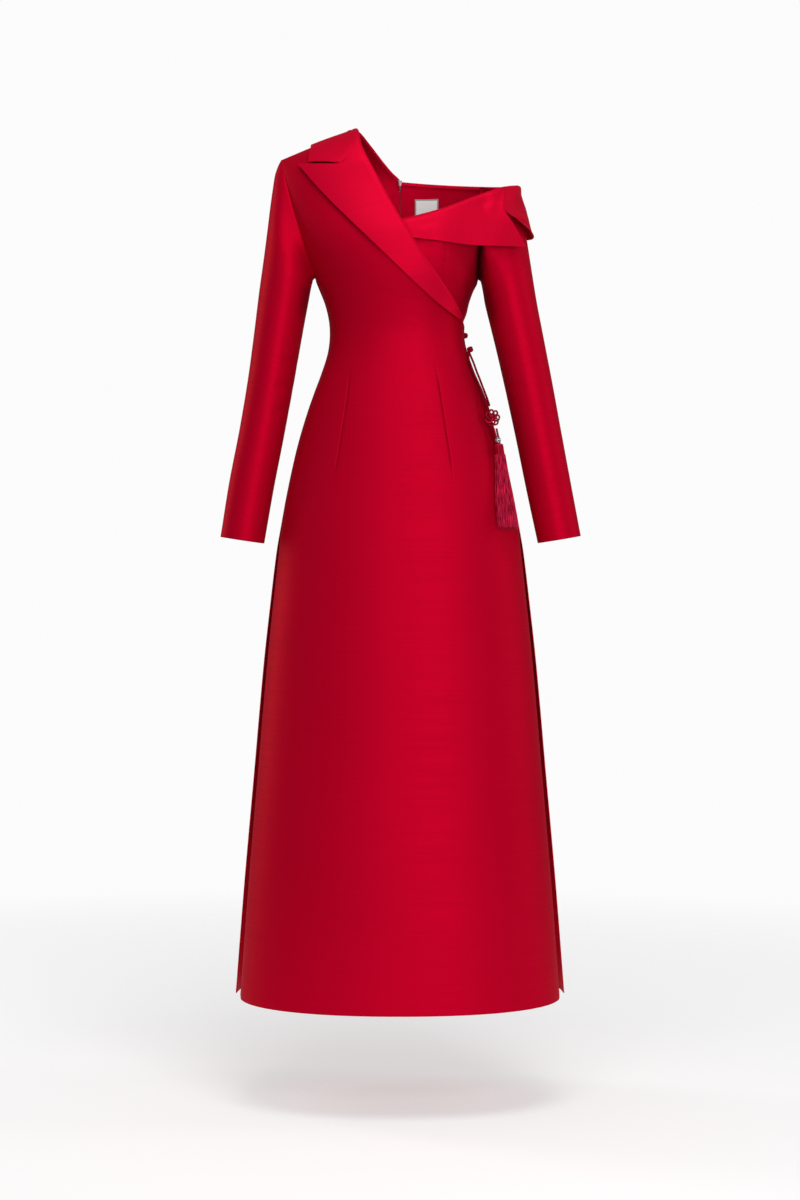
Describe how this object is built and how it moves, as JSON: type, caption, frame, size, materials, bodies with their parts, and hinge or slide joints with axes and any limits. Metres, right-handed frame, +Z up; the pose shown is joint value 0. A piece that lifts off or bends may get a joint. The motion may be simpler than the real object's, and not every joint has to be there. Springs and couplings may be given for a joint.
{
  "type": "ao dai tunic",
  "caption": "Long red satin ao dai tunic, filled out as worn: crossing front with one peak lapel, one off-shoulder collar, long sleeves, side slits and a side tassel",
  "frame": {"origin": "the inside of the right shoulder seam, halfway along it, where the wearer's shoulder holds the tunic up", "axes": "+X is the wearer's left, -Y is the front and +Z is up; the hem is at the low end of Z"},
  "size_m": [0.577, 0.403, 1.3832],
  "materials": {
    "red_satin": "heavy duchess satin with a fine cross rib and a soft sheen",
    "zip_tape": "woven tape with a nylon coil",
    "label_white": "plain woven label with a grey edge",
    "zip_metal": "dull plated",
    "red_cord": "tight satin cord",
    "silver": "bright, faceted",
    "tassel_silk": "glossy silk thread"
  },
  "bodies": {
    "tunic": {"front": "red_satin", "under_front": "red_satin", "back_right": "red_satin", "back_left": "red_satin", "sleeve_right": "red_satin", "sleeve_left": "red_satin", "lapel_right": "red_satin", "collar_right": "red_satin", "lapel_left": "red_satin", "collar_left": "red_satin", "label": "label_white", "zip": "zip_tape", "zip_slider": "zip_metal", "button_1": "red_cord", "button_2": "red_cord", "tassel_cord_1": "red_cord", "tassel_cord_2": "red_cord", "tassel_knot": "red_cord", "tassel_bead": "silver", "tassel": "tassel_silk"},
    "pull": {"zip_pull": "zip_metal"}
  },
  "joints": [
    {"name": "pull_hinge", "type": "hinge", "parent": "tunic", "child": "pull", "pos_m": [0.1244, 0.0992, -0.0445], "axis": [1, 0, 0], "range_deg": [0, 170]}
  ]
}
